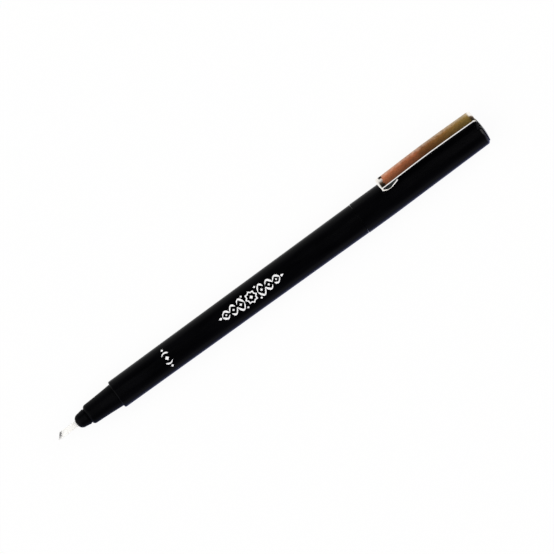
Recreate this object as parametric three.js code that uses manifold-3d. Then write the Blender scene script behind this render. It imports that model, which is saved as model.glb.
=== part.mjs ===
// Calligraphy pen with a flat fibre nib, uncapped, with its cap pushed on the tail.
// Millimetres, +Z up. The pen lies along X, nib towards -X and cap towards +X.
// Stations run along the pen from the front of the nose, where the station is 0.
// The origin of the finished group is at the middle of the pen's underside.
import * as THREE from "three";
import { mergeVertices } from "three/addons/utils/BufferGeometryUtils.js";
import Module from "manifold-3d";

// Fits
const pushFit = 0.05; // radial clearance of a plug in its socket
const capSlip = 0.1; // radial clearance between the cap and what it slides over
const endGap = 0.1; // gap along the pen between two pieces that butt
const metalGap = 0.3; // room round the clip where it passes into the cap's end

// Turned pieces
const sides = 28; // flats round every turned piece, one of them facing down
const arcSteps = 4; // straight steps in a rounded corner
const gripSteps = 6; // straight steps along the flare of the grip
const domeSteps = 5; // straight steps from the dome's edge to its top
const bendStep = 18; // degrees of bend to each straight step of the clip

// Nib
const nibReach = 6.8; // from the nose's front to the nib's long corner
const nibWidth = 1.8;
const nibThickness = 1.2;
const nibSlant = 40; // degrees between the writing edge and a square cut
const nibBevel = 2.4; // length over which the nib thins to its writing edge
const nibEdge = 0.4; // thickness of the writing edge
const nibSlotGap = 0.15; // room round the nib in the nose
const nibDip = 2.6; // how far the nib reaches into the ink rod
const nibDipGap = 0.2; // room round the nib's rear end in the ink rod

// Nose
const noseLength = 3.9;
const noseFrontRadius = 2.2;
const noseRearRadius = 2.5;
const noseCorner = 1.8;
const grooveWidth = 0.4; // shallow groove between nose and section
const grooveDepth = 0.15;
const noseStemRadius = 1.85;
const noseStemLength = 6.0;

// Cap bore, from the tail outwards
const tailEndRadius = 3.25; // slim end of the tail, which enters the liner
const linerWall = 0.35;
const linerFloor = 0.8;
const linerSetback = 8.3; // from the cap's mouth to the liner's mouth
const linerLength = 18.7;
const linerLedge = 0.3; // step in the shell that the liner's closed end rests on

// Section
const sectionLength = 10.15; // the part in front of the barrel
const sectionTaper = 0.12; // how much less its front's radius is than the tail end's
const sectionCorner = 1.05;
const sectionSwell = 0.21; // rise of the grip's middle over its front
const plugDepth = 7.2; // how deep section and tail sit in the barrel

// Barrel
const barrelLength = 85.5; // from its front shoulder to the cap's mouth
const barrelWall = 0.69; // wall round the front socket
const barrelGrowth = 0.48; // how much more its radius is at the rear than at the front
const barrelEdge = 0.4; // rounding of the front shoulder
const rearEdge = 0.08; // broken edge at the barrel's rear and at the cap's mouth
const plugStop = 0.4; // step in the barrel behind section and tail

// Ink reservoir
const filmSlip = 0.1;
const filmThickness = 0.15;

// Tail
const tailLength = 12.0; // the part inside the cap
const tailCorner = 0.6;
const tailWall = 1.0;
const tailStraight = 4.5; // full-width length behind the barrel
const ventRadius = 0.4;

// Cap
const capLength = 43.05; // mouth to rim
const capWall = 1.2; // at the mouth
const capStraight = 9.5; // length at full width, from the mouth
const capEndWall = 1.0; // round the end plug's stem
const capCorner = 0.7;
const headOverlap = 0.4; // how far the end plug's head reaches over the rim
const headEdge = 0.2; // height of the head's edge
const domeRise = 0.45; // height of the dome over that edge
const crownStem = 6.0;
const crownChamfer = 0.3;
const forkWall = 0.45; // walls of the end plug that stand beside the clip's leg
const forkSetback = 0.05; // how far those walls stand back from the notch
const forkDrop = 0.6; // from the underside of the clip's arm down to their top
const forkFoot = 0.6; // how much longer they are at their foot than at their top

// Clip
const clipTilt = 51; // degrees from level up to the side that the clip is on
const clipWidth = 3.95; // arm and return leg
const legWidth = 3.2; // leg and hook, which pass into the cap's end
const shoulderDrop = 0.4; // from the underside of the arm down to where the leg narrows
const clipThickness = 0.5;
const clipLength = 33.1; // free end to the outside of the bend
const clipStandoff = 2.6; // from the cap's mouth radius to the underside of the arm
const bowRise = 0.25; // how much higher the arm is at its bow than at its bend
const bowFall = 0.75; // how much lower the free end is than the bow
const bowDistance = 16; // from the leg to the bow
const bowRadius = 200;
const bendRadius = 0.75; // bends are measured at the middle of the strip
const rootRadius = 0.4;
const foldDrop = 1.0; // height of the fold at the free end
const foldRadius = 0.35;
const footGap = 0.1; // between the foot and the cap
const footStart = 1.5; // free end to the start of the foot
const footLength = 1.4;
const footRadius = 0.5;
const footTail = 5.4; // free end to the tip of the return leg
const footTailRise = 1.3; // how far the return leg climbs again
const tangDepth = 2.4; // how deep the strip dips beside the end plug
const tangLip = 0.9; // length of the hook at the strip's inner end

// Radii that follow from the fits
const linerBoreRadius = tailEndRadius + capSlip;
const linerRadius = linerBoreRadius + linerWall;
const capBoreRadius = linerRadius + pushFit;
const plugRadius = capBoreRadius - capSlip; // root of the section and of the tail
const socketRadius = plugRadius + pushFit;
const barrelBoreRadius = socketRadius - plugStop;
const barrelFrontRadius = socketRadius + barrelWall;
const barrelRearRadius = barrelFrontRadius + barrelGrowth;
const sectionFrontRadius = tailEndRadius - sectionTaper;
const sectionBoreRadius = noseStemRadius + pushFit;
const filmRadius = barrelBoreRadius - filmSlip;
const coreRadius = filmRadius - filmThickness - pushFit;
const capMouthRadius = capBoreRadius + capWall;
const crownBoreRadius = capBoreRadius - linerLedge;
const crownRadius = crownBoreRadius - pushFit;
const headRadius = crownBoreRadius + headOverlap;
const capEndRadius = crownBoreRadius + capEndWall;

// Stations that follow from the lengths
const sectionFront = noseLength + endGap;
const barrelFront = sectionFront + sectionLength;
const capMouth = barrelFront + barrelLength;
const barrelRear = capMouth - endGap;
const capRim = capMouth + capLength;
const headSeat = capRim + endGap;
const domeTop = headSeat + headEdge + domeRise;
const inkFront = barrelFront + plugDepth + endGap;
const tailFront = barrelRear - plugDepth;
const inkRear = tailFront - endGap;
const nibRear = inkFront + nibDip;

// Middle of the clip's strip where it crosses the shell's end, and where it dips into the bore
// with its corners clear of the round wall.
const tilt = THREE.MathUtils.degToRad(clipTilt);
const tangReach = crownBoreRadius - metalGap;
const tangRadius = Math.sqrt(tangReach ** 2 - (legWidth / 2) ** 2) - clipThickness / 2;
const legStation = headSeat - metalGap - clipThickness / 2;
const notchWidth = legWidth + 2 * metalGap;
const forkInside = notchWidth / 2 + forkSetback;
const forkFront = legStation - clipThickness / 2;
const forkRear = legStation + clipThickness / 2;
const armFloor = capMouthRadius + clipStandoff; // underside of the arm

const wasm = await Module();
wasm.setup();

// A rounded corner as [station, radius] points, about a centre, between two angles in degrees.
function corner(station, radius, size, from, to, steps = arcSteps) {
  const points = [];
  for (let i = 0; i <= steps; i++) {
    const angle = THREE.MathUtils.degToRad(from + ((to - from) * i) / steps);
    points.push([station + size * Math.cos(angle), radius + size * Math.sin(angle)]);
  }
  return points;
}

// Turns [station, radius] points about the pen's axis. The outside runs towards the cap.
function turned(profile) {
  const points = profile.map(([station, radius]) => new THREE.Vector2(radius, station));
  const geometry = new THREE.LatheGeometry(points, sides, Math.PI / sides);
  return geometry.rotateZ(-Math.PI / 2);
}

// The same for a profile that closes on itself, such as a tube's wall.
function turnedRing(profile) {
  return turned([...profile, profile[0]]);
}

// A block between two stations, two heights and half a width to each side.
function block(fromStation, toStation, low, high, width) {
  const geometry = new THREE.BoxGeometry(toStation - fromStation, high - low, width);
  return geometry.translate((fromStation + toStation) / 2, (low + high) / 2, 0);
}

// A closed geometry as a solid that can be cut.
function toSolid(geometry) {
  const bare = new THREE.BufferGeometry();
  bare.setAttribute("position", geometry.attributes.position);
  bare.setIndex(geometry.index);
  const merged = mergeVertices(bare);
  const corners = Array.from(merged.index.array);
  const triangles = [];
  for (let i = 0; i < corners.length; i += 3) {
    const [a, b, c] = corners.slice(i, i + 3);
    if (a !== b && b !== c && c !== a) {
      triangles.push(a, b, c);
    }
  }
  const mesh = new wasm.Mesh({
    numProp: 3,
    vertProperties: new Float32Array(merged.attributes.position.array),
    triVerts: new Uint32Array(triangles),
  });
  return new wasm.Manifold(mesh);
}

// A cut solid as a geometry again.
function toGeometry(solid) {
  const mesh = solid.getMesh();
  const geometry = new THREE.BufferGeometry();
  geometry.setAttribute("position", new THREE.BufferAttribute(mesh.vertProperties, 3));
  geometry.setIndex(new THREE.BufferAttribute(mesh.triVerts, 1));
  geometry.computeVertexNormals();
  return geometry;
}

// Rounds the inner corners of a path of [x, y, radius] points.
function roundedPath(corners) {
  const path = [];
  corners.forEach(([x, y, radius], i) => {
    const point = new THREE.Vector2(x, y);
    if (i === 0 || i === corners.length - 1) {
      path.push(point);
      return;
    }
    const [beforeX, beforeY] = corners[i - 1];
    const [afterX, afterY] = corners[i + 1];
    const back = new THREE.Vector2(beforeX, beforeY).sub(point).normalize();
    const ahead = new THREE.Vector2(afterX, afterY).sub(point).normalize();
    const turn = Math.PI - Math.acos(THREE.MathUtils.clamp(back.dot(ahead), -1, 1));
    const reach = radius * Math.tan(turn / 2);
    const centre = back.clone().add(ahead).setLength(radius / Math.cos(turn / 2)).add(point);
    const start = back.clone().multiplyScalar(reach).add(point).sub(centre);
    const side = Math.sign(back.cross(ahead));
    const steps = Math.max(1, Math.round(turn / THREE.MathUtils.degToRad(bendStep)));
    for (let k = 0; k <= steps; k++) {
      const spoke = start.clone().rotateAround(new THREE.Vector2(), (-side * turn * k) / steps);
      path.push(spoke.add(centre));
    }
  });
  return path;
}

// The outline of a strip of even thickness along a path.
function stripOutline(path, thickness) {
  const near = [];
  const far = [];
  path.forEach((point, i) => {
    const arriving = point.clone().sub(path[Math.max(i - 1, 0)]).normalize();
    const leaving = path[Math.min(i + 1, path.length - 1)].clone().sub(point).normalize();
    const along = arriving.clone().add(leaving).normalize();
    const straightness = Math.max(along.dot(leaving), along.dot(arriving));
    const across = new THREE.Vector2(-along.y, along.x);
    across.multiplyScalar(thickness / 2 / straightness);
    near.push(point.clone().add(across));
    far.push(point.clone().sub(across));
  });
  return new THREE.Shape([...near, ...far.reverse()]);
}

// The cap's outer radius at a station.
function capRadiusAt(station) {
  const along = (station - capMouth - capStraight) / (capLength - capStraight - capCorner);
  return THREE.MathUtils.lerp(capMouthRadius, capEndRadius, THREE.MathUtils.clamp(along, 0, 1));
}

const blackPlastic = { color: 0x0b0b0d, roughness: 0.28, metalness: 0 };
const matteBlack = { color: 0x141416, roughness: 0.5, metalness: 0 };
const goldMetal = { color: 0xb98a45, roughness: 0.3, metalness: 1 };
const fibre = { color: 0xefe9da, roughness: 0.9, metalness: 0 };
const film = { color: 0xd8dbe0, roughness: 0.35, metalness: 0 };

const pen = new THREE.Group();

function addPiece(name, geometry, finish) {
  const mesh = new THREE.Mesh(geometry, new THREE.MeshStandardMaterial(finish));
  mesh.name = name;
  pen.add(mesh);
  return mesh;
}

// Nib: a flat stick, cut at a slant and thinned from both faces towards its writing edge.
function makeNib() {
  const slantRun = nibWidth * Math.tan(THREE.MathUtils.degToRad(nibSlant));
  const plan = new THREE.Shape([
    new THREE.Vector2(-nibReach, -nibWidth / 2),
    new THREE.Vector2(nibRear, -nibWidth / 2),
    new THREE.Vector2(nibRear, nibWidth / 2),
    new THREE.Vector2(slantRun - nibReach, nibWidth / 2),
  ]);
  const stick = new THREE.ExtrudeGeometry(plan, { depth: nibThickness, bevelEnabled: false });
  stick.translate(0, 0, -nibThickness / 2);
  const room = nibWidth; // more than the stick's half width, so that the wedge spans it
  const profile = new THREE.Shape([
    new THREE.Vector2(-nibReach - room, -nibEdge / 2),
    new THREE.Vector2(-nibReach, -nibEdge / 2),
    new THREE.Vector2(nibBevel - nibReach, -nibThickness / 2),
    new THREE.Vector2(nibRear + room, -nibThickness / 2),
    new THREE.Vector2(nibRear + room, nibThickness / 2),
    new THREE.Vector2(nibBevel - nibReach, nibThickness / 2),
    new THREE.Vector2(-nibReach, nibEdge / 2),
    new THREE.Vector2(-nibReach - room, nibEdge / 2),
  ]);
  const wedge = new THREE.ExtrudeGeometry(profile, { depth: 2 * room, bevelEnabled: false });
  wedge.translate(0, 0, -room).rotateX(Math.PI / 2);
  return toGeometry(toSolid(stick).intersect(toSolid(wedge)));
}

// Nose: rounded front, stem in the section, and a slot through it for the nib.
function makeNibHolder() {
  const stemEnd = sectionFront + noseStemLength;
  const grooveFront = noseLength - grooveWidth;
  const body = turned([
    [0, 0],
    ...corner(noseCorner, noseFrontRadius - noseCorner, noseCorner, 180, 90),
    [grooveFront, noseRearRadius],
    [grooveFront + grooveDepth, noseRearRadius - grooveDepth],
    [noseLength, noseRearRadius - grooveDepth],
    [noseLength, noseStemRadius],
    [stemEnd, noseStemRadius],
    [stemEnd, 0],
  ]);
  const slot = block(
    -noseCorner,
    stemEnd + noseCorner,
    -nibWidth / 2 - nibSlotGap,
    nibWidth / 2 + nibSlotGap,
    nibThickness + 2 * nibSlotGap,
  );
  return toGeometry(toSolid(body).subtract(toSolid(slot)));
}

// Section: rounded front, a grip that flares to its root, and a plug in the barrel.
function makeSection() {
  const gripFront = sectionFront + sectionCorner;
  const gripMiddle = (gripFront + barrelFront) / 2;
  const middleRadius = sectionFrontRadius + sectionSwell;
  const grip = new THREE.CubicBezierCurve(
    new THREE.Vector2(gripFront, sectionFrontRadius),
    new THREE.Vector2(gripMiddle, middleRadius),
    new THREE.Vector2(gripMiddle, middleRadius),
    new THREE.Vector2(barrelFront - endGap, plugRadius),
  );
  const cornerRadius = sectionFrontRadius - sectionCorner;
  return turnedRing([
    [sectionFront, sectionBoreRadius],
    ...corner(gripFront, cornerRadius, sectionCorner, 180, 90).slice(0, -1),
    ...grip.getPoints(gripSteps).map((point) => [point.x, point.y]),
    [barrelFront + plugDepth, plugRadius],
    [barrelFront + plugDepth, sectionBoreRadius],
  ]);
}

// Barrel: a tube open at both ends, with a socket in each.
function makeBarrel() {
  const cornerRadius = barrelFrontRadius - barrelEdge;
  const frontStop = barrelFront + plugDepth + endGap;
  const rearStop = tailFront - endGap;
  return turnedRing([
    [barrelFront, socketRadius],
    ...corner(barrelFront + barrelEdge, cornerRadius, barrelEdge, 180, 90),
    [barrelRear - rearEdge, barrelRearRadius],
    [barrelRear, barrelRearRadius - rearEdge],
    [barrelRear, socketRadius],
    [rearStop, socketRadius],
    [rearStop, barrelBoreRadius],
    [frontStop, barrelBoreRadius],
    [frontStop, socketRadius],
  ]);
}

function makeReservoirFilm() {
  return turnedRing([
    [inkFront, filmRadius - filmThickness],
    [inkFront, filmRadius],
    [inkRear, filmRadius],
    [inkRear, filmRadius - filmThickness],
  ]);
}

// Ink rod: a fibre rod with a blind hole that takes the nib's rear end.
function makeReservoirCore() {
  const holeRadius = Math.hypot(nibWidth / 2, nibThickness / 2) + nibDipGap;
  const holeEnd = nibRear + nibDipGap;
  return turned([
    [holeEnd, 0],
    [holeEnd, holeRadius],
    [inkFront, holeRadius],
    [inkFront, coreRadius],
    [inkRear, coreRadius],
    [inkRear, 0],
  ]);
}

// Tail: a plug in the barrel, stepped down to enter the liner, hollow, with a vent in its end.
function makeTailPlug() {
  const tailEnd = capMouth + tailLength;
  const slimStart = capMouth + linerSetback - endGap;
  const cornerRadius = tailEndRadius - tailCorner;
  return turnedRing([
    [tailFront, plugRadius - tailWall],
    [tailFront, plugRadius],
    [capMouth + tailStraight, plugRadius],
    [slimStart, tailEndRadius],
    ...corner(tailEnd - tailCorner, cornerRadius, tailCorner, 90, 0),
    [tailEnd, ventRadius],
    [tailEnd - tailWall, ventRadius],
    [tailEnd - tailWall, tailEndRadius - tailWall],
    [slimStart, tailEndRadius - tailWall],
    [capMouth + tailStraight, plugRadius - tailWall],
  ]);
}

// Liner: a cup, open towards the tail.
function makeCapLiner() {
  const mouth = capMouth + linerSetback;
  const closedEnd = mouth + linerLength;
  return turned([
    [closedEnd - linerFloor, 0],
    [closedEnd - linerFloor, linerBoreRadius],
    [mouth, linerBoreRadius],
    [mouth, linerRadius],
    [closedEnd, linerRadius],
    [closedEnd, 0],
  ]);
}

// Shell: straight at its mouth, then tapered, open at both ends, with a ledge for the liner and
// a notch in its end that the clip and the end plug's fork pass through.
function makeCapShell() {
  const ledge = capMouth + linerSetback + linerLength + endGap;
  const cornerRadius = capEndRadius - capCorner;
  const body = turnedRing([
    [capMouth, capBoreRadius],
    [capMouth, capMouthRadius - rearEdge],
    [capMouth + rearEdge, capMouthRadius],
    [capMouth + capStraight, capMouthRadius],
    ...corner(capRim - capCorner, cornerRadius, capCorner, 90, 0),
    [capRim, crownBoreRadius],
    [ledge, crownBoreRadius],
    [ledge, capBoreRadius],
  ]);
  const width = 2 * (forkInside + forkWall + endGap);
  const floor = forkFront - forkFoot - endGap;
  const notch = block(floor, domeTop, tangRadius, 2 * capEndRadius, width);
  return toGeometry(toSolid(body).subtract(toSolid(notch.rotateX(tilt))));
}

// End plug: a stem in the shell and a domed head over its rim. The stem is cut away on the
// clip's side, with a deeper pocket that the hooked end of the strip catches in. Two walls
// stand up beside the clip's leg like a fork.
function makeCapCrown() {
  const stemEnd = capRim - crownStem;
  const domeRadius = (headRadius ** 2 + domeRise ** 2) / (2 * domeRise);
  const domeEdge = THREE.MathUtils.radToDeg(Math.asin(headRadius / domeRadius));
  const body = turned([
    [stemEnd, 0],
    [stemEnd, crownRadius - crownChamfer],
    [stemEnd + crownChamfer, crownRadius],
    [headSeat, crownRadius],
    [headSeat, headRadius],
    ...corner(domeTop - domeRadius, 0, domeRadius, domeEdge, 0, domeSteps).slice(0, -1),
    [domeTop, 0],
  ]);
  const neckFloor = tangRadius - clipThickness / 2 - metalGap;
  const pocketFloor = tangRadius - tangLip - metalGap;
  const hookStation = legStation - tangDepth;
  const pocketTop = hookStation + clipThickness / 2 + metalGap;
  const pocketBottom = hookStation - clipThickness / 2 - metalGap;
  const neck = block(pocketBottom, headSeat, neckFloor, 2 * crownRadius, notchWidth);
  const pocket = block(pocketBottom, pocketTop, pocketFloor, 2 * crownRadius, notchWidth);
  const cut = toSolid(neck.rotateX(tilt)).add(toSolid(pocket.rotateX(tilt)));
  let plug = toSolid(body).subtract(cut);
  const wallOutline = new THREE.Shape([
    new THREE.Vector2(forkFront - forkFoot, neckFloor),
    new THREE.Vector2(headSeat + headEdge / 2, neckFloor),
    new THREE.Vector2(headSeat + headEdge / 2, crownBoreRadius),
    new THREE.Vector2(forkRear, capEndRadius),
    new THREE.Vector2(forkRear, armFloor - forkDrop),
    new THREE.Vector2(forkFront, armFloor - forkDrop),
    new THREE.Vector2(forkFront - forkFoot, capEndRadius),
  ]);
  for (const start of [forkInside, -forkInside - forkWall]) {
    const wall = new THREE.ExtrudeGeometry(wallOutline, { depth: forkWall, bevelEnabled: false });
    wall.translate(0, 0, start);
    plug = plug.add(toSolid(wall.rotateX(tilt)));
  }
  return toGeometry(plug);
}

// Clip: one strip, from its hook in the end plug, out through the notch, along the cap in a slight
// bow and folded back. Its hook and leg are narrower than the rest. It is drawn with the cap's
// axis along X and the clip on the +Y side.
function makeClip() {
  const armRadius = armFloor + clipThickness / 2;
  const bow = armRadius + bowRise;
  const freeRadius = bow - bowFall;
  const freeEnd = legStation + clipThickness / 2 - clipLength;
  const foldStation = freeEnd + clipThickness / 2;
  const footRadiusFromAxis = capRadiusAt(freeEnd + footStart) + footGap + clipThickness / 2;
  const path = roundedPath([
    [legStation - tangDepth, tangRadius - tangLip, 0],
    [legStation - tangDepth, tangRadius, rootRadius],
    [legStation, tangRadius, rootRadius],
    [legStation, armRadius, bendRadius],
    [legStation - bowDistance, bow, bowRadius],
    [foldStation, freeRadius, foldRadius],
    [foldStation, freeRadius - foldDrop, foldRadius],
    [freeEnd + footStart, footRadiusFromAxis, footRadius],
    [freeEnd + footStart + footLength, footRadiusFromAxis, footRadius],
    [freeEnd + footTail, footRadiusFromAxis + footTailRise, 0],
  ]);
  const outline = stripOutline(path, clipThickness);
  const strip = new THREE.ExtrudeGeometry(outline, { depth: clipWidth, bevelEnabled: false });
  let solid = toSolid(strip.translate(0, 0, -clipWidth / 2));
  const hookEnd = legStation - tangDepth - clipThickness;
  for (const way of [-1, 1]) {
    const side = block(hookEnd, domeTop, 0, armFloor - shoulderDrop, clipWidth);
    solid = solid.subtract(toSolid(side.translate(0, 0, (way * (legWidth + clipWidth)) / 2)));
  }
  return toGeometry(solid);
}

addPiece("nib", makeNib(), fibre);
addPiece("nib_holder", makeNibHolder(), matteBlack);
addPiece("section", makeSection(), blackPlastic);
addPiece("barrel_tube", makeBarrel(), blackPlastic);
addPiece("reservoir_film", makeReservoirFilm(), film);
addPiece("reservoir_core", makeReservoirCore(), fibre);
addPiece("tail_plug", makeTailPlug(), matteBlack);
addPiece("cap_liner", makeCapLiner(), matteBlack);
addPiece("cap_shell", makeCapShell(), blackPlastic);
addPiece("cap_crown", makeCapCrown(), blackPlastic);
const clip = addPiece("clip", makeClip(), goldMetal);
clip.rotation.x = tilt;

// The lowest flats of the cap's mouth rest on the ground, and the box's middle is the origin.
pen.updateMatrixWorld(true);
const box = new THREE.Box3().setFromObject(pen, true);
const middle = box.getCenter(new THREE.Vector3());
pen.position.set(-middle.x, -middle.y, -box.min.z);

export default pen;
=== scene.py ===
import math
import random

import bmesh
import bpy
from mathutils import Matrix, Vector


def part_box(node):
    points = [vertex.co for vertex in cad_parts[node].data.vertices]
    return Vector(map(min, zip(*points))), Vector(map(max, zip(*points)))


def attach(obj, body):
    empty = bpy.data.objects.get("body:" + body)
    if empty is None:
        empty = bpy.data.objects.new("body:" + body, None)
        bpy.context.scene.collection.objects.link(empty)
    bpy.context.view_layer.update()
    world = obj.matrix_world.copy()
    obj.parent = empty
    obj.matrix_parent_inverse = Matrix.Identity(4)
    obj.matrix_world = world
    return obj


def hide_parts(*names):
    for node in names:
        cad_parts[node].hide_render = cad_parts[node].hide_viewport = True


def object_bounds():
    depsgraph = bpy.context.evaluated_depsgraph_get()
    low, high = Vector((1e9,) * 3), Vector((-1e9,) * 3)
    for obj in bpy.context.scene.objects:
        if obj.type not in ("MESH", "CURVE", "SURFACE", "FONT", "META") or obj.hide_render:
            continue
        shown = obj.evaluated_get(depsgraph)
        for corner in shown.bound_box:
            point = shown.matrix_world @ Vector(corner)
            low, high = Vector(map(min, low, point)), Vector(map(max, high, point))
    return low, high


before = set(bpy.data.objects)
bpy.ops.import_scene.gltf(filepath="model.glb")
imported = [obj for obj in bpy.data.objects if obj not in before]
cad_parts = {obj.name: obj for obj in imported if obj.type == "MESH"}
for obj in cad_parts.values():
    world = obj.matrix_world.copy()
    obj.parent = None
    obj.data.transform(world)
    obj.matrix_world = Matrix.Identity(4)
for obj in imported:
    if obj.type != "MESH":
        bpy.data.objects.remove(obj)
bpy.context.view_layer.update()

MM = 0.001

# The frame: where the pen's axis is, and where each piece begins and ends
FLATS = 28
NOSE_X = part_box("nib_holder")[0].x
BARREL_LOW, BARREL_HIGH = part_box("barrel_tube")
AXIS_Y = (BARREL_LOW.y + BARREL_HIGH.y) / 2
AXIS_Z = (BARREL_LOW.z + BARREL_HIGH.z) / 2


def stations(node):
    """The two ends of a node along the pen, in millimetres from the front of the nose."""
    low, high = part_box(node)
    return (low.x - NOSE_X) / MM, (high.x - NOSE_X) / MM


def round_radius(node):
    """The radius of the circle round a node that is turned with FLATS flats."""
    low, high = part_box(node)
    return (high.z - low.z) / 2 / MM / math.cos(math.pi / FLATS)


NIB_TIP, NIB_REAR = stations("nib")
NOSE_FRONT, STEM_END = stations("nib_holder")
SECTION_FRONT, SECTION_REAR = stations("section")
BARREL_FRONT, BARREL_REAR = stations("barrel_tube")
TAIL_FRONT, TAIL_END = stations("tail_plug")
LINER_MOUTH, LINER_END = stations("cap_liner")
CAP_MOUTH, CAP_RIM = stations("cap_shell")
CROWN_FRONT, DOME_TOP = stations("cap_crown")
CLIP_FREE, CLIP_END = stations("clip")

# Clearances and roundings that several pieces share
PUSH_FIT = 0.05
END_GAP = 0.1
FINE_EDGE = 0.04
SMALL_EDGE = 0.08
SOFT_EDGE = 0.1
LEAD_IN = 0.12

# Nib
NIB_WIDTH = 1.8
NIB_THICKNESS = 1.2
NIB_CORNER = 0.16
NIB_SLANT = math.radians(40)
NIB_BEVEL = 2.4
NIB_EDGE = 0.4
NIB_EDGE_SHARE = 0.9
NIB_SLOT_GAP = 0.15
STRAND_WIDTH = 0.07
STRAND_DEPTH = 0.012
STAIN_SIDE = 0.25

# Nose
NOSE_LENGTH = 3.9
NOSE_FRONT_RADIUS = 2.2
NOSE_REAR_RADIUS = 2.5
NOSE_CORNER = 1.8
NOSE_STEM_RADIUS = 1.85
GROOVE_WIDTH = 0.4
GROOVE_DEPTH = 0.15

# Section, barrel and tail
SECTION_FRONT_RADIUS = 3.13
SECTION_CORNER = 1.05
SECTION_SWELL = 0.21
SECTION_BORE = 1.9
SECTION_BORE_EDGE = 0.06
PLUG_RADIUS = round_radius("tail_plug")
SOCKET_RADIUS = PLUG_RADIUS + PUSH_FIT
SOCKET_STOP = 0.4
BARREL_BORE = SOCKET_RADIUS - SOCKET_STOP
BARREL_SWELL = 0.48
BARREL_REAR_RADIUS = round_radius("barrel_tube")
BARREL_FRONT_RADIUS = BARREL_REAR_RADIUS - BARREL_SWELL
BARREL_EDGE = 0.4
TAIL_RADIUS = 3.25
TAIL_CORNER = 0.6
TAIL_BEND = 1.5
TAIL_WALL = 1.0
TAIL_STRAIGHT = 4.5
VENT_RADIUS = 0.4

# Cap
CAP_RADIUS = round_radius("cap_shell")
CAP_WALL = 1.2
CAP_BORE = CAP_RADIUS - CAP_WALL
CAP_STRAIGHT = 9.5
CAP_BEND = 300
CAP_CORNER = 0.7
LEDGE_WIDTH = 0.3
LEDGE_RADIUS = CAP_BORE - LEDGE_WIDTH
CAP_END_WALL = 1.0
CAP_END_RADIUS = LEDGE_RADIUS + CAP_END_WALL
LINER_RADIUS = CAP_BORE - PUSH_FIT
LINER_WALL = 0.35
LINER_BORE = LINER_RADIUS - LINER_WALL
LINER_FLOOR = 0.8
LINER_CORNER = 0.3
LINER_EDGE = 0.05
CROWN_RADIUS = LEDGE_RADIUS - PUSH_FIT
CROWN_CHAMFER = 0.3
HEAD_LIP = 0.4
HEAD_RADIUS = LEDGE_RADIUS + HEAD_LIP
HEAD_THICKNESS = 0.2
HEAD_EDGE = 0.07
DOME_RISE = 0.45

# Clip
CLIP_TILT = math.radians(51)
CLIP_OUT = Vector((0, math.cos(CLIP_TILT), math.sin(CLIP_TILT)))
CLIP_SIDE = Vector((0, math.sin(CLIP_TILT), -math.cos(CLIP_TILT)))
CLIP_WIDTH = 3.95
CLIP_THICKNESS = 0.5
CLIP_STANDOFF = 2.6
CLIP_CROWN = 0.15
CLIP_EDGE = 0.05
LEG_WIDTH = 3.2
LEG_STEP = 0.04
SHOULDER_DROP = 0.4
SHOULDER_ROUND = 0.3
BOW_RISE = 0.25
BOW_FALL = 0.75
BOW_DISTANCE = 16
BOW_RADIUS = 200
BEND_RADIUS = 0.75
ROOT_RADIUS = 0.4
FOLD_DROP = 1.0
FOLD_RADIUS = 0.35
FOOT_GAP = 0.1
FOOT_START = 1.5
FOOT_LENGTH = 1.4
FOOT_RADIUS = 0.5
FOOT_TAIL = 5.4
FOOT_TAIL_RISE = 1.3
# How far from the free end the fold's painted reflections and shade reach
FOLD_PAINT_LENGTH = 1.75
# How far from the free end the painted highlight along the fold's front reaches
FRONT_HIGHLIGHT_LENGTH = 0.45
METAL_GAP = 0.3
TANG_DEPTH = 2.4
TANG_LIP = 0.9
TANG_RADIUS = math.sqrt((LEDGE_RADIUS - METAL_GAP) ** 2 - (LEG_WIDTH / 2) ** 2) - CLIP_THICKNESS / 2
ARM_FLOOR = CAP_RADIUS + CLIP_STANDOFF
LEG_STATION = CLIP_END - CLIP_THICKNESS / 2
NOTCH_WIDTH = LEG_WIDTH + 2 * METAL_GAP

# Walls of the end plug beside the clip's leg
FORK_WALL = 0.45
FORK_SETBACK = 0.05
FORK_INSIDE = NOTCH_WIDTH / 2 + FORK_SETBACK
FORK_DROP = 0.6
FORK_FOOT = 0.6
FORK_FRONT = LEG_STATION - CLIP_THICKNESS / 2
FORK_REAR = LEG_STATION + CLIP_THICKNESS / 2
FORK_TOP = ARM_FLOOR - FORK_DROP
FORK_CORNER = 0.15
FORK_REAR_FILLET = 0.3
FORK_FRONT_FILLET = 0.6
FORK_EDGE = 0.07

# Print on the barrel
PRINT_HEIGHT = 0.025
PRINT_SINK = 0.02
STROKE_ANGLE = math.radians(40)
STROKE_END_SHARE = 0.25
STROKE_END_RATE = 4.0
MITRE_LIMIT = 0.35

# The band: a star, and on each side of it three eyes of a plait and a leaf
BAND_STATION = 61.5
BAND_START = 2.35
EYE_LENGTH = 2.55
EYE_HEIGHTS = (1.75, 1.45, 1.1)
EYE_DOT = 0.42
EYE_DOT_STEP = 0.06
PLAIT_GAP = 0.36
PLAIT_WIDTHS = (0.3, 0.6)
STAR_REACH = 1.75
STAR_STROKE = 0.34
STAR_DOT = 0.55
SIDE_DOT = 0.36
SIDE_DOT_PLACE = 1.9
LEAF_GAP = 0.25
LEAF_LENGTH = 1.0
LEAF_WIDTH = 0.34
LEAF_SKEW = 0.7

# The mark: three dots and two short strokes
MARK_STATION = 32.0
MARK_DOT = 0.62
MARK_END_DOT = 0.42
MARK_END_PLACE = 2.75
MARK_STROKE_HALF = 1.15
MARK_STROKE_PLACE = 1.15
MARK_STROKE_BOW = 0.55
MARK_STROKE_WIDTHS = (0.26, 0.5)

# Photograph: the size of one pixel at the pen, the pen's angle in it, and what its middle shows
PHOTO_PIXELS = 554
PIXEL_SIZE = 0.285
PEN_ANGLE = math.radians(35.97)
PICTURE_STATION = 70.79
PICTURE_SIDE = 0.322

# Meshes: the flats of a turned piece, the degrees from which its edges are sharp, and a
# difference in size that is too small to see
SIDES = 160
TURNED_SHARP = 25
HAIR = 0.001

# Noise: its roughness, and the range that most of its values are in
NOISE_ROUGHNESS = 0.55
NOISE_RANGE = (0.3, 0.7)


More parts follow.
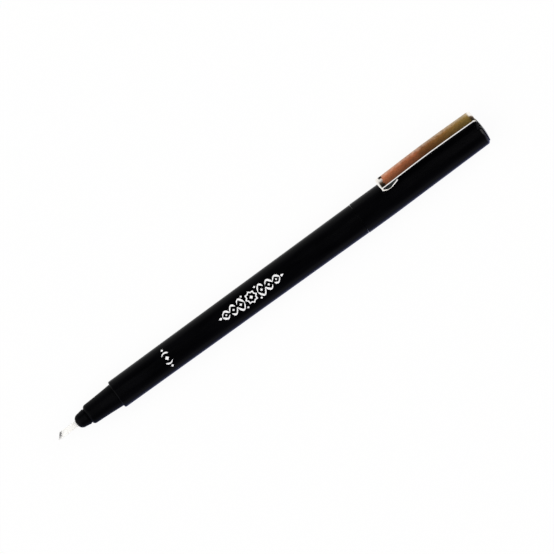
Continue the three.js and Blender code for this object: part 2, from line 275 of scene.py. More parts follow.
def place(station, across, up):
    """A point of the row frame from a station and two distances from the pen's axis."""
    return Vector((NOSE_X + station * MM, AXIS_Y + across * MM, AXIS_Z + up * MM))


def polar(station, radius, angle):
    """The same from a radius and an angle, which is 0 straight up and grows towards +Y."""
    return place(station, radius * math.sin(angle), radius * math.cos(angle))


def make_object(name, points, faces, sharp=40, materials=()):
    """A mesh object with outward faces, smooth but for edges of more than sharp degrees."""
    mesh = bpy.data.meshes.new(name)
    mesh.from_pydata([tuple(point) for point in points], [], faces)
    body = bmesh.new()
    body.from_mesh(mesh)
    bmesh.ops.remove_doubles(body, verts=body.verts, dist=1e-8)
    bmesh.ops.recalc_face_normals(body, faces=body.faces)
    body.to_mesh(mesh)
    body.free()
    shade(mesh, sharp)
    for material in materials:
        mesh.materials.append(material)
    piece = bpy.data.objects.new(name, mesh)
    bpy.context.scene.collection.objects.link(piece)
    return piece


def shade(mesh, sharp):
    """Smooth shading, but for edges of more than sharp degrees."""
    mesh.shade_smooth()
    mesh.set_sharp_from_angle(angle=math.radians(sharp))


def rounded(corners, closed=False, step=9):
    """Points along a line through [x, y] or [x, y, radius] corners, each rounded by its radius."""
    path = []
    count = len(corners)
    for i, (x, y, *rest) in enumerate(corners):
        point = Vector((x, y))
        radius = rest[0] if rest else 0
        at_end = not closed and i in (0, count - 1)
        if at_end or radius == 0:
            path.append(point)
            continue
        back = (Vector(corners[i - 1][:2]) - point).normalized()
        ahead = (Vector(corners[(i + 1) % count][:2]) - point).normalized()
        turn = math.pi - back.angle(ahead)
        centre = point + (back + ahead).normalized() * (radius / math.cos(turn / 2))
        start = point + back * (radius * math.tan(turn / 2)) - centre
        way = 1 if back.x * ahead.y - back.y * ahead.x < 0 else -1
        steps = max(2, round(math.degrees(turn) / step))
        for k in range(steps + 1):
            angle = way * turn * k / steps
            spoke = Vector((
                start.x * math.cos(angle) - start.y * math.sin(angle),
                start.x * math.sin(angle) + start.y * math.cos(angle),
            ))
            path.append(centre + spoke)
    return path


def bezier(start, handle_a, handle_b, end, steps):
    """Points along a cubic curve."""
    a, b, c, d = (Vector(p) for p in (start, handle_a, handle_b, end))
    return [
        a * (1 - t) ** 3 + b * 3 * t * (1 - t) ** 2 + c * 3 * t * t * (1 - t) + d * t ** 3
        for t in (k / steps for k in range(steps + 1))
    ]


def arc(station, radius, size, start, end, steps):
    """Points on an arc round [station, radius], between two angles in degrees."""
    angles = [math.radians(start + (end - start) * k / steps) for k in range(steps + 1)]
    return [Vector((station + size * math.cos(a), radius + size * math.sin(a))) for a in angles]


def turned(name, profile, closed, materials):
    """A solid turned about the pen's axis from [station, radius] points."""
    points = []
    rings = []
    for station, radius in profile:
        if radius < 1e-6:
            rings.append([len(points)])
            points.append(polar(station, 0, 0))
            continue
        rings.append([len(points) + k for k in range(SIDES)])
        points += [polar(station, radius, math.tau * k / SIDES) for k in range(SIDES)]
    pairs = list(zip(rings, rings[1:]))
    if closed:
        pairs.append((rings[-1], rings[0]))
    faces = []
    for near, far in pairs:
        for k in range(SIDES):
            n = (k + 1) % SIDES
            if len(near) == 1 and len(far) == 1:
                break
            if len(near) == 1:
                faces.append([near[0], far[n], far[k]])
            elif len(far) == 1:
                faces.append([near[k], near[n], far[0]])
            else:
                faces.append([near[k], near[n], far[n], far[k]])
    return make_object(name, points, faces, TURNED_SHARP, materials)


def lofted(name, rings, sharp, materials):
    """A solid through rings with the same number of points: its two ends, then its sides."""
    count = len(rings[0])
    points = [point for ring in rings for point in ring]
    starts = [count * i for i in range(len(rings))]
    last = starts[-1]
    faces = [list(range(count))[::-1], list(range(last, last + count))]
    for near, far in zip(starts, starts[1:]):
        for k in range(count):
            n = (k + 1) % count
            faces.append([near + k, near + n, far + n, far + k])
    return make_object(name, points, faces, sharp, materials)


def block(from_station, to_station, low, high, width, tilt=0.0):
    """A box between two stations and two distances from the axis along a tilted direction."""
    out = Vector((0, math.cos(tilt), math.sin(tilt)))
    side = Vector((0, -math.sin(tilt), math.cos(tilt)))
    points = []
    for station in (from_station, to_station):
        for reach, way in ((low, -1), (high, -1), (high, 1), (low, 1)):
            offset = out * reach + side * (way * width / 2)
            points.append(place(station, offset.y, offset.z))
    faces = [[0, 1, 2, 3], [7, 6, 5, 4], [0, 4, 5, 1], [1, 5, 6, 2], [2, 6, 7, 3], [3, 7, 4, 0]]
    return make_object("cutter", points, faces)


def combine(piece, others, operation):
    """Cuts other solids out of a piece, or joins them to it, and deletes them."""
    for other in others:
        modifier = piece.modifiers.new("combine", "BOOLEAN")
        modifier.operation = operation
        modifier.solver = "EXACT"
        modifier.object = other
    bake(piece)
    shade(piece.data, TURNED_SHARP)
    for other in others:
        bpy.data.objects.remove(other)


def bake(piece):
    """Applies a piece's modifiers to its mesh, with each face's material kept."""
    graph = bpy.context.evaluated_depsgraph_get()
    mesh = bpy.data.meshes.new_from_object(piece.evaluated_get(graph))
    materials = list(piece.data.materials)
    looks = [min(face.material_index, len(materials) - 1) for face in mesh.polygons]
    piece.modifiers.clear()
    piece.data = mesh
    mesh.materials.clear()
    for material in materials:
        mesh.materials.append(material)
    mesh.polygons.foreach_set("material_index", looks)


def cap_radius_at(station):
    """The cap's outer radius: a straight stretch, then a taper to its rounded end."""
    share = (station - CAP_MOUTH - CAP_STRAIGHT) / (CAP_RIM - CAP_CORNER - CAP_MOUTH - CAP_STRAIGHT)
    return CAP_RADIUS + (CAP_END_RADIUS - CAP_RADIUS) * min(max(share, 0), 1)


def barrel_radius_at(station):
    """The barrel's outer radius."""
    share = (station - BARREL_FRONT) / (BARREL_REAR - BARREL_FRONT)
    return BARREL_FRONT_RADIUS + (BARREL_REAR_RADIUS - BARREL_FRONT_RADIUS) * share


class Nodes:
    """A node tree under construction: add nodes by type and join them."""

    def __init__(self, tree, coordinates):
        self.tree = tree
        self.place = tree.nodes.new("ShaderNodeTexCoord").outputs[coordinates]

    def node(self, kind, **settings):
        made = self.tree.nodes.new(kind)
        for key, value in settings.items():
            setattr(made, key, value)
        return made

    def join(self, source, target):
        self.tree.links.new(source, target)

    def axes(self):
        """The three coordinates of the place."""
        split = self.node("ShaderNodeSeparateXYZ")
        self.join(self.place, split.inputs["Vector"])
        return split.outputs

    def ramp(self, factor, stops):
        """Colours or greys at places between 0 and 1."""
        ramp = self.node("ShaderNodeValToRGB")
        elements = ramp.color_ramp.elements
        while len(elements) < len(stops):
            elements.new(1.0)
        for element, (at, colour) in zip(elements, stops):
            element.position = at
            element.color = (*colour, 1) if isinstance(colour, tuple) else (colour, colour, colour, 1)
        self.join(factor, ramp.inputs["Fac"])
        return ramp.outputs["Color"]

    def mapped(self, value, low, high, to_low=0.0, to_high=1.0):
        """A value moved from one range to another, and kept within it."""
        mapping = self.node("ShaderNodeMapRange")
        keys = ("From Min", "From Max", "To Min", "To Max")
        for key, number in zip(keys, (low, high, to_low, to_high)):
            mapping.inputs[key].default_value = number
        self.join(value, mapping.inputs["Value"])
        return mapping.outputs["Result"]

    def math(self, operation, a, b=0.0):
        """One calculation with one or two values, each a number or a node's output."""
        made = self.node("ShaderNodeMath", operation=operation)
        for socket, value in zip(made.inputs, (a, b)):
            if isinstance(value, (int, float)):
                socket.default_value = value
            else:
                self.join(value, socket)
        return made.outputs["Value"]

    def mixed(self, factor, a, b, blend="MIX"):
        """Two colours mixed by a factor."""
        made = self.node("ShaderNodeMix", data_type="RGBA", blend_type=blend)
        for socket, value in ((made.inputs[0], factor), (made.inputs[6], a), (made.inputs[7], b)):
            if isinstance(value, (int, float)):
                socket.default_value = value
            elif isinstance(value, tuple):
                socket.default_value = (*value, 1)
            else:
                self.join(value, socket)
        return made.outputs[2]


class Shader(Nodes):
    """A material: a surface shader and the nodes that drive it."""

    def __init__(self, name):
        self.material = bpy.data.materials.new(name)
        self.material.use_nodes = True
        super().__init__(self.material.node_tree, "Object")
        self.surface = self.tree.nodes["Principled BSDF"]

    def fixed(self, **values):
        """Sets the surface shader's own sockets."""
        for key, value in values.items():
            self.surface.inputs[key.replace("_", " ")].default_value = value

    def drive(self, socket, source):
        """Joins a node's output to one of the surface shader's sockets."""
        self.join(source, self.surface.inputs[socket])

    def noise(self, x, y, z, detail=3.0):
        """Noise with so many features per metre along each axis."""
        mapping = self.node("ShaderNodeMapping")
        mapping.inputs["Scale"].default_value = (x, y, z)
        self.join(self.place, mapping.inputs["Vector"])
        noise = self.node("ShaderNodeTexNoise")
        noise.inputs["Scale"].default_value = 1.0
        noise.inputs["Detail"].default_value = detail
        noise.inputs["Roughness"].default_value = NOISE_ROUGHNESS
        self.join(mapping.outputs["Vector"], noise.inputs["Vector"])
        return noise.outputs["Fac"]

    def between(self, noise, low, high):
        """A noise turned into a colour or a number between two."""
        if isinstance(low, tuple):
            return self.ramp(noise, list(zip(NOISE_RANGE, (low, high))))
        return self.mapped(noise, *NOISE_RANGE, low, high)

    def wander(self, noise, reach):
        """A noise as a distance to both sides of nought."""
        return self.math("MULTIPLY", self.math("SUBTRACT", noise, 0.5), reach)

    def bumps(self, layers):
        """Joins height layers, each (height, strength, depth in millimetres), to the surface."""
        before = None
        for height, strength, depth in layers:
            bump = self.node("ShaderNodeBump")
            bump.inputs["Strength"].default_value = strength
            bump.inputs["Distance"].default_value = depth * MM
            self.join(height, bump.inputs["Height"])
            if before is not None:
                self.join(before, bump.inputs["Normal"])
            before = bump.outputs["Normal"]
        self.drive("Normal", before)


def black_plastic(name, roughness, grain, level):
    """Moulded black plastic: faint flow marks, a fine skin and a few hairline scratches."""
    s = Shader(name)
    flow = s.noise(90, 420, 420, 2.0)
    skin = s.noise(2600, 2600, 2600, 2.0)
    hairs = s.noise(260, 5200, 5200, 1.0)
    scratches = s.ramp(hairs, [(0.66, 0.0), (0.70, 1.0)])
    soft = s.between(flow, roughness - 0.03, roughness + 0.04)
    s.drive("Base Color", s.between(flow, (0.0005, 0.0005, 0.0008), (0.0013, 0.0013, 0.0018)))
    s.drive("Roughness", s.math("ADD", soft, s.math("MULTIPLY", scratches, 0.06)))
    s.fixed(Specular_IOR_Level=level)
    s.bumps([(skin, grain, 0.01), (hairs, 0.05, 0.004)])
    return s.material


def nib_fibre():
    """Pressed fibre, pale, with strands along the pen and ink drawn into its tip."""
    s = Shader("nib_fibre")
    strands = s.noise(700, 9000, 9000)
    blotches = s.noise(900, 1600, 1600, 2.0)
    at = s.axes()
    slant = s.math("MULTIPLY", s.math("SUBTRACT", at["Y"], AXIS_Y), math.tan(NIB_SLANT))
    edge = NOSE_X + (NIB_TIP + NIB_WIDTH / 2 * math.tan(NIB_SLANT)) * MM
    ragged = s.wander(strands, 2.4 * MM)
    depth = s.math("ADD", s.math("SUBTRACT", at["X"], slant), ragged)
    aside = s.math("ABSOLUTE", s.math("SUBTRACT", at["Y"], AXIS_Y + STAIN_SIDE * MM))
    wet = s.mapped(s.math("ADD", aside, ragged), 0.35 * MM, 0.8 * MM, 1.0, 0.0)
    inked = s.mapped(depth, edge + 0.5 * MM, edge + 1.0 * MM, 0.9, 0.0)
    bleed = s.mapped(depth, edge + 0.3 * MM, edge + 2.0 * MM, 0.3, 0.0)
    pale = s.between(strands, (0.93, 0.92, 0.88), (0.99, 0.99, 0.97))
    stained = s.mixed(bleed, pale, (0.36, 0.35, 0.36))
    s.drive("Base Color", s.mixed(s.math("MULTIPLY", inked, wet), stained, (0.03, 0.03, 0.035)))
    s.drive("Roughness", s.mapped(inked, 0, 1, 0.9, 0.5))
    s.fixed(Specular_IOR_Level=0.3)
    s.bumps([(strands, 0.6, 0.03), (blotches, 0.2, 0.03)])
    return s.material


def ink_fibre():
    """The ink-soaked rod inside the barrel."""
    s = Shader("ink_fibre")
    strands = s.noise(300, 7000, 7000)
    s.drive("Base Color", s.between(strands, (0.02, 0.02, 0.03), (0.09, 0.09, 0.11)))
    s.drive("Roughness", s.between(strands, 0.75, 0.95))
    s.bumps([(strands, 0.5, 0.05)])
    return s.material


def clear_film():
    """The thin pale sleeve round the ink rod."""
    s = Shader("clear_film")
    wrinkles = s.noise(150, 900, 900)
    s.drive("Base Color", s.between(wrinkles, (0.66, 0.68, 0.72), (0.8, 0.82, 0.85)))
    s.drive("Roughness", s.between(wrinkles, 0.18, 0.3))
    s.bumps([(wrinkles, 0.3, 0.05)])
    return s.material


def strip_places(s):
    """A point's places along the pen, across the clip's strip, and out from the pen's axis."""
    at = s.axes()
    y = s.math("SUBTRACT", at["Y"], AXIS_Y)
    z = s.math("SUBTRACT", at["Z"], AXIS_Z)
    sine = math.sin(CLIP_TILT)
    cosine = math.cos(CLIP_TILT)
    across = s.math("SUBTRACT", s.math("MULTIPLY", y, sine), s.math("MULTIPLY", z, cosine))
    reach = s.math("ADD", s.math("MULTIPLY", y, cosine), s.math("MULTIPLY", z, sine))
    return at["X"], across, reach


# The plate's colours from the clip's free end to its bend, with copper-red and olive tints that are
# painted reflections, its mottling, and painted reflections across its fold and bend
PLATE_AND_PAINTED_TINTS = [
    (0.05, (0.80, 0.27, 0.125)),
    (0.28, (0.56, 0.19, 0.085)),
    (0.41, (0.54, 0.18, 0.078)),
    (0.48, (0.34, 0.135, 0.05)),
    (0.68, (0.39, 0.19, 0.056)),
    (0.95, (0.42, 0.28, 0.08)),
]
# A painted highlight along the strip's far edge
PLATE_EDGE_HIGHLIGHT = (0.9, 0.8, 0.68)
PLATE_MOTTLE = [(0.35, (0.74, 0.76, 0.76)), (0.5, (0.96, 0.96, 0.94)), (0.65, (1.0, 0.92, 0.86))]
# Painted reflections across the fold and the bend: dark near, pale far
PLATE_END_REFLECTIONS = [(0.25, (0.04, 0.03, 0.02)), (0.42, (0.16, 0.10, 0.06)), (0.58, (0.96, 0.92, 0.86))]
# A painted dark spot of shade at the fold's far corner
PLATE_CORNER_SHADE = (0.03, 0.022, 0.018)
# A painted highlight along the fold's front
PLATE_FRONT_HIGHLIGHT = (0.92, 0.89, 0.84)


def gold_face():
    """Gold-coloured plate, brushed along the strip; its copper-red tint towards the free end is a
    painted reflection.

    It has a painted highlight along the far edge, and its fold and bend carry painted reflections, dark
    near and pale far, but for a painted dark spot of shade at the fold's far corner, and a painted
    highlight along the fold's front.
    """
    s = Shader("gold_metal")
    x, across, reach = strip_places(s)
    clouds = s.noise(260, 500, 500)
    patches = s.noise(900, 1600, 1600)
    specks = s.noise(2200, 2900, 2900, 1.0)
    brushing = s.noise(420, 9000, 9000, 2.0)
    grain = s.noise(5200, 5200, 5200, 2.0)
    half = CLIP_WIDTH / 2 * MM
    ragged = s.wander(patches, 1.2 * MM)
    sideways = s.math("ADD", across, ragged)

    # The plate along the strip with its painted reflections, a painted highlight on its far side,
    # mottled and brushed
    along = s.mapped(x, NOSE_X + CLIP_FREE * MM, NOSE_X + CLIP_END * MM)
    # Gold plate along the strip, with copper-red and olive tints that are painted reflections
    plate = s.ramp(s.math("ADD", along, s.wander(clouds, 0.18)), PLATE_AND_PAINTED_TINTS)
    edge_highlighted = s.mixed(s.mapped(sideways, 0.3 * half, half, 0.0, 0.5), plate, PLATE_EDGE_HIGHLIGHT)
    mottled = s.mixed(1.0, edge_highlighted, s.ramp(specks, PLATE_MOTTLE), "MULTIPLY")
    tone = s.math("MULTIPLY", s.between(brushing, 0.84, 1.0), s.mapped(patches, 0.35, 0.65, 0.84, 1.0))
    toned = s.mixed(1.0, mottled, tone, "MULTIPLY")

    # Painted reflections at the fold and the bend: dark near, pale far
    fold = NOSE_X + (CLIP_FREE + FOLD_PAINT_LENGTH) * MM
    bend = NOSE_X + (LEG_STATION - BEND_RADIUS) * MM
    at_fold = s.mapped(s.math("ADD", x, ragged), fold - 0.2 * MM, fold + 0.2 * MM, 1.0, 0.0)
    past_bend = s.mapped(x, bend - 0.2 * MM, bend + 0.3 * MM)
    above_leg = s.mapped(reach, (ARM_FLOOR - 0.3) * MM, (ARM_FLOOR + 0.1) * MM)
    at_bend = s.math("MULTIPLY", past_bend, above_leg)
    end_reflections = s.ramp(s.mapped(sideways, -half, half), PLATE_END_REFLECTIONS)
    ends = s.mixed(s.math("MAXIMUM", at_fold, at_bend), toned, end_reflections)

    # A painted dark spot of shade behind the fold, and a painted highlight at its front
    behind = s.ramp(s.mapped(x, fold - MM, fold + MM), [(0.1, 0.0), (0.2, 1.0), (0.6, 1.0), (0.75, 0.0)])
    corner = s.math("MULTIPLY", behind, s.mapped(across, 0.45 * half, 0.6 * half))
    spotted = s.mixed(corner, ends, PLATE_CORNER_SHADE)
    front = NOSE_X + (CLIP_FREE + FRONT_HIGHLIGHT_LENGTH) * MM
    front_highlight = s.mapped(x, front - 0.05 * MM, front + 0.1 * MM, 1.0, 0.0)
    s.drive("Base Color", s.mixed(front_highlight, spotted, PLATE_FRONT_HIGHLIGHT))
    s.drive("Roughness", s.between(brushing, 0.16, 0.26))
    s.fixed(Metallic=1.0)
    s.bumps([(brushing, 0.12, 0.01), (grain, 0.1, 0.008)])
    return s.material


def dark_back():
    """The strip's inner side, dark and a little green-grey."""
    s = Shader("dark_back")
    patches = s.noise(700, 1400, 1400)
    s.drive("Base Color", s.between(patches, (0.010, 0.016, 0.016), (0.03, 0.036, 0.034)))
    s.drive("Roughness", s.between(patches, 0.4, 0.6))
    s.fixed(Specular_IOR_Level=0.3)
    s.bumps([(patches, 0.15, 0.01)])
    return s.material


def bright_edge():
    """The strip's cut edge, where the pale metal under the plate shows."""
    s = Shader("bright_edge")
    shear = s.noise(900, 900, 900)
    s.drive("Base Color", s.between(shear, (0.86, 0.83, 0.76), (0.97, 0.95, 0.9)))
    s.drive("Roughness", s.between(shear, 0.08, 0.16))
    s.fixed(Metallic=1.0)
    s.bumps([(shear, 0.15, 0.01)])
    return s.material


def white_print():
    """Pad-printed white ink, slightly uneven."""
    s = Shader("white_print")
    mottle = s.noise(1500, 1500, 1500)
    fine = s.noise(9000, 9000, 9000, 2.0)
    s.drive("Base Color", s.between(mottle, (0.84, 0.85, 0.86), (0.95, 0.95, 0.95)))
    s.drive("Roughness", s.between(mottle, 0.45, 0.6))
    s.bumps([(fine, 0.15, 0.006)])
    return s.material


GLOSS = black_plastic("black_gloss", roughness=0.22, grain=0.06, level=0.04)
SATIN = black_plastic("black_satin", roughness=0.36, grain=0.16, level=0.03)
POLISHED = black_plastic("black_polished", roughness=0.25, grain=0.06, level=0.26)
FIBRE = nib_fibre()
INK = ink_fibre()
FILM = clear_film()
GOLD = gold_face()
BACK = dark_back()
BRIGHT = bright_edge()
WHITE = white_print()


def dress(piece, node, body):
    """Lets a finished piece stand for a CAD node."""
    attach(piece, body)
    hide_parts(node)


def make_nib():
    """A flat stick with soft long edges, cut at a slant and thinned towards its writing edge."""
    half = NIB_WIDTH / 2
    thick = NIB_THICKNESS / 2
    outline = rounded([
        (-half, -thick, NIB_CORNER),
        (half, -thick, NIB_CORNER),
        (half, thick, NIB_CORNER),
        (-half, thick, NIB_CORNER),
    ], closed=True, step=18)
    fine = []
    for i, point in enumerate(outline):
        ahead = outline[(i + 1) % len(outline)]
        steps = max(1, round((ahead - point).length / STRAND_WIDTH))
        fine += [point.lerp(ahead, k / steps) for k in range(steps)]
    rng = random.Random(7)
    strand = [rng.uniform(-STRAND_DEPTH, STRAND_DEPTH) for _ in fine]
    depths = [0.0, 0.05, 0.15, 0.4, 0.8, 1.2, 1.6, 2.0, 2.4, 2.8, 3.6, 5.0, 8.0, 16.0]
    rings = []
    for j, depth in enumerate(depths + [None]):
        ring = []
        for i, (y, z) in enumerate(fine):
            front = NIB_TIP + (y + half) * math.tan(NIB_SLANT)
            station = NIB_REAR if depth is None else front + depth
            thinning = min(1.0, max(0.0, (station - NIB_TIP) / NIB_BEVEL))
            height = (NIB_EDGE + (NIB_THICKNESS - NIB_EDGE) * thinning) / NIB_THICKNESS
            inset = NIB_EDGE_SHARE if j == 0 else 1.0
            ridge = 1 + strand[i] * (1 if 0 < j < len(depths) else 0)
            ring.append(place(station, y * inset * ridge, z * height * inset * ridge))
        rings.append(ring)
    return lofted("nib_stick", rings, sharp=45, materials=[FIBRE])


def make_nose():
    """The nose and its stem, turned, with a flat slot for the nib right through."""
    groove = NOSE_LENGTH - GROOVE_WIDTH
    profile = [Vector((NOSE_FRONT, 0))]
    profile += arc(NOSE_CORNER, NOSE_FRONT_RADIUS - NOSE_CORNER, NOSE_CORNER, 180, 90, steps=14)
    profile += rounded([
        (NOSE_CORNER, NOSE_FRONT_RADIUS),
        (groove, NOSE_REAR_RADIUS, SMALL_EDGE),
        (groove + GROOVE_DEPTH, NOSE_REAR_RADIUS - GROOVE_DEPTH, SOFT_EDGE),
        (NOSE_LENGTH, NOSE_REAR_RADIUS - GROOVE_DEPTH, FINE_EDGE),
        (NOSE_LENGTH, NOSE_STEM_RADIUS),
        (STEM_END, NOSE_STEM_RADIUS, SOFT_EDGE),
        (STEM_END, 0),
    ])[1:]
    nose = turned("nose", profile, False, [SATIN])
    half_slot = NIB_WIDTH / 2 + NIB_SLOT_GAP
    depth = NIB_THICKNESS + 2 * NIB_SLOT_GAP
    slot = block(-NOSE_CORNER, STEM_END + NOSE_CORNER, -half_slot, half_slot, depth)
    combine(nose, [slot], "DIFFERENCE")
    return nose


def make_grip():
    """The section, hollow, with a rounded front and a grip that swells towards the barrel."""
    start = SECTION_FRONT + SECTION_CORNER
    middle = ((start + BARREL_FRONT) / 2, SECTION_FRONT_RADIUS + SECTION_SWELL)
    end = (BARREL_FRONT - END_GAP, PLUG_RADIUS)
    centre = SECTION_FRONT_RADIUS - SECTION_CORNER
    profile = rounded([
        (SECTION_FRONT, centre),
        (SECTION_FRONT, SECTION_BORE, SECTION_BORE_EDGE),
        (SECTION_REAR, SECTION_BORE),
        (SECTION_REAR, PLUG_RADIUS, LEAD_IN),
        end,
    ])
    grip = bezier((start, SECTION_FRONT_RADIUS), middle, middle, end, steps=24)
    profile += grip[::-1][1:]
    profile += arc(start, centre, SECTION_CORNER, 90, 180, steps=10)[1:-1]
    return turned("grip", profile, True, [SATIN])


def make_barrel():
    """The long tube, with a socket at each end."""
    front_stop = SECTION_REAR + END_GAP
    rear_stop = TAIL_FRONT - END_GAP
    corners = [
        (BARREL_FRONT, SOCKET_RADIUS, FINE_EDGE),
        (BARREL_FRONT, BARREL_FRONT_RADIUS, BARREL_EDGE),
        (BARREL_REAR, BARREL_REAR_RADIUS, SMALL_EDGE),
        (BARREL_REAR, SOCKET_RADIUS, FINE_EDGE),
        (rear_stop, SOCKET_RADIUS),
        (rear_stop, BARREL_BORE),
        (front_stop, BARREL_BORE),
        (front_stop, SOCKET_RADIUS),
    ]
    return turned("barrel", rounded(corners, closed=True), True, [GLOSS])


def make_tail():
    """The hollow plug in the barrel's rear, slimmer where the cap's liner goes on, with a vent."""
    slim = LINER_MOUTH - END_GAP
    straight = CAP_MOUTH + TAIL_STRAIGHT
    corners = [
        (TAIL_FRONT, PLUG_RADIUS - TAIL_WALL),
        (TAIL_FRONT, PLUG_RADIUS, LEAD_IN),
        (straight, PLUG_RADIUS, TAIL_BEND),
        (slim, TAIL_RADIUS, TAIL_BEND),
        (TAIL_END, TAIL_RADIUS, TAIL_CORNER),
        (TAIL_END, VENT_RADIUS, SMALL_EDGE),
        (TAIL_END - TAIL_WALL, VENT_RADIUS),
        (TAIL_END - TAIL_WALL, TAIL_RADIUS - TAIL_WALL),
        (slim, TAIL_RADIUS - TAIL_WALL),
        (straight, PLUG_RADIUS - TAIL_WALL),
    ]
    return turned("tail", rounded(corners, closed=True), True, [SATIN])


def make_liner():
    """The cup inside the cap."""
    corners = [
        (LINER_END - LINER_FLOOR, 0),
        (LINER_END - LINER_FLOOR, LINER_BORE, LINER_CORNER),
        (LINER_MOUTH, LINER_BORE, SOFT_EDGE),
        (LINER_MOUTH, LINER_RADIUS, LINER_EDGE),
        (LINER_END, LINER_RADIUS, SOFT_EDGE),
        (LINER_END, 0),
    ]
    return turned("liner", rounded(corners), False, [SATIN])


def make_cap():
    """The shell, polished at its rounded end, with the notch there that the clip passes through."""
    ledge = LINER_END + END_GAP
    corner = CAP_RIM - CAP_CORNER
    profile = rounded([
        (CAP_MOUTH, CAP_BORE),
        (CAP_MOUTH, CAP_RADIUS, SMALL_EDGE),
        (CAP_MOUTH + CAP_STRAIGHT, CAP_RADIUS, CAP_BEND),
        (corner, CAP_END_RADIUS),
    ])
    profile += arc(corner, CAP_END_RADIUS - CAP_CORNER, CAP_CORNER, 90, 0, steps=12)[1:]
    profile += rounded([
        (CAP_RIM, CAP_END_RADIUS - CAP_CORNER),
        (CAP_RIM, LEDGE_RADIUS, FINE_EDGE),
        (ledge, LEDGE_RADIUS),
        (ledge, CAP_BORE),
    ])[1:]
    shell = turned("cap", profile, True, [GLOSS, POLISHED])
    for face in shell.data.polygons:
        face.material_index = 1 if face.center.x > NOSE_X + corner * MM else 0
    floor = FORK_FRONT - FORK_FOOT - END_GAP
    width = 2 * (FORK_INSIDE + FORK_WALL + END_GAP)
    notch = block(floor, DOME_TOP, TANG_RADIUS, 2 * CAP_RADIUS, width, CLIP_TILT)
    combine(shell, [notch], "DIFFERENCE")
    return shell


def make_crown():
    """The end plug: a polished stem and domed head, and the gloss walls beside the clip's leg."""
    seat = DOME_TOP - DOME_RISE - HEAD_THICKNESS
    dome_radius = (HEAD_RADIUS ** 2 + DOME_RISE ** 2) / (2 * DOME_RISE)
    dome_edge = math.degrees(math.asin(HEAD_RADIUS / dome_radius))
    # A point on the dome, which only gives the rounding of the head's edge its direction
    on_dome = (DOME_TOP - DOME_RISE * 0.93, HEAD_RADIUS * 0.965)
    profile = rounded([
        (CROWN_FRONT, 0),
        (CROWN_FRONT, CROWN_RADIUS - CROWN_CHAMFER),
        (CROWN_FRONT + CROWN_CHAMFER, CROWN_RADIUS),
        (seat, CROWN_RADIUS),
        (seat, HEAD_RADIUS, FINE_EDGE),
        (seat + HEAD_THICKNESS, HEAD_RADIUS, HEAD_EDGE),
        on_dome,
    ])[:-1]
    profile += arc(DOME_TOP - dome_radius, 0, dome_radius, dome_edge * 0.95, 0, steps=16)[:-1]
    profile.append(Vector((DOME_TOP, 0)))
    crown = turned("cap_end", profile, False, [POLISHED, GLOSS])
    hook = LEG_STATION - TANG_DEPTH
    reach = CLIP_THICKNESS / 2 + METAL_GAP
    neck_floor = TANG_RADIUS - reach
    pocket_floor = TANG_RADIUS - TANG_LIP - METAL_GAP
    outside = 2 * CROWN_RADIUS
    neck = block(hook - reach, seat, neck_floor, outside, NOTCH_WIDTH, CLIP_TILT)
    pocket_width = NOTCH_WIDTH - 2 * HAIR
    pocket = block(hook - reach, hook + reach, pocket_floor, outside, pocket_width, CLIP_TILT)
    combine(crown, [neck, pocket], "DIFFERENCE")
    for way in (-1, 1):
        combine(crown, [make_fork_wall(seat + HEAD_THICKNESS / 2, neck_floor, way)], "UNION")
    return crown


def make_fork_wall(rear, low, way):
    """One wall beside the clip's leg, with soft edges and a rounded top."""
    outline = rounded([
        (FORK_FRONT - FORK_FOOT, low),
        (rear, low),
        (rear, LEDGE_RADIUS),
        (FORK_REAR, CAP_END_RADIUS, FORK_REAR_FILLET),
        (FORK_REAR, FORK_TOP, FORK_CORNER),
        (FORK_FRONT, FORK_TOP, FORK_CORNER),
        (FORK_FRONT - FORK_FOOT, CAP_END_RADIUS, FORK_FRONT_FILLET),
    ], closed=True, step=15)
    centre = sum(outline, Vector((0, 0))) / len(outline)
    middle = way * (FORK_INSIDE + FORK_WALL / 2)
    half = FORK_WALL / 2
    layers = [(-half, FORK_EDGE), (FORK_EDGE - half, 0), (half - FORK_EDGE, 0), (half, FORK_EDGE)]
    rings = []
    for offset, inset in layers:
        ring = []
        for spot in outline:
            station, radius = spot + (centre - spot).normalized() * inset
            away = CLIP_OUT * radius + CLIP_SIDE * (middle + offset)
            ring.append(place(station, away.y, away.z))
        rings.append(ring)
    wall = lofted("wall", rings, sharp=40, materials=[POLISHED, GLOSS])
    for face in wall.data.polygons:
        face.material_index = 1
    return wall


def strip_section():
    """The strip's cut across, a little arched, as [offset from its middle, width] points."""
    half = CLIP_WIDTH / 2
    steps = 16
    widths = [-half + CLIP_WIDTH * k / steps for k in range(steps + 1)]
    corners = []
    for way, row in ((-1, widths), (1, widths[::-1])):
        for w in row:
            sag = CLIP_CROWN * ((w / half) ** 2 - 1)
            corners.append((way * CLIP_THICKNESS / 2 + sag, w, CLIP_EDGE if abs(w) == half else 0))
    return rounded(corners, closed=True, step=15)


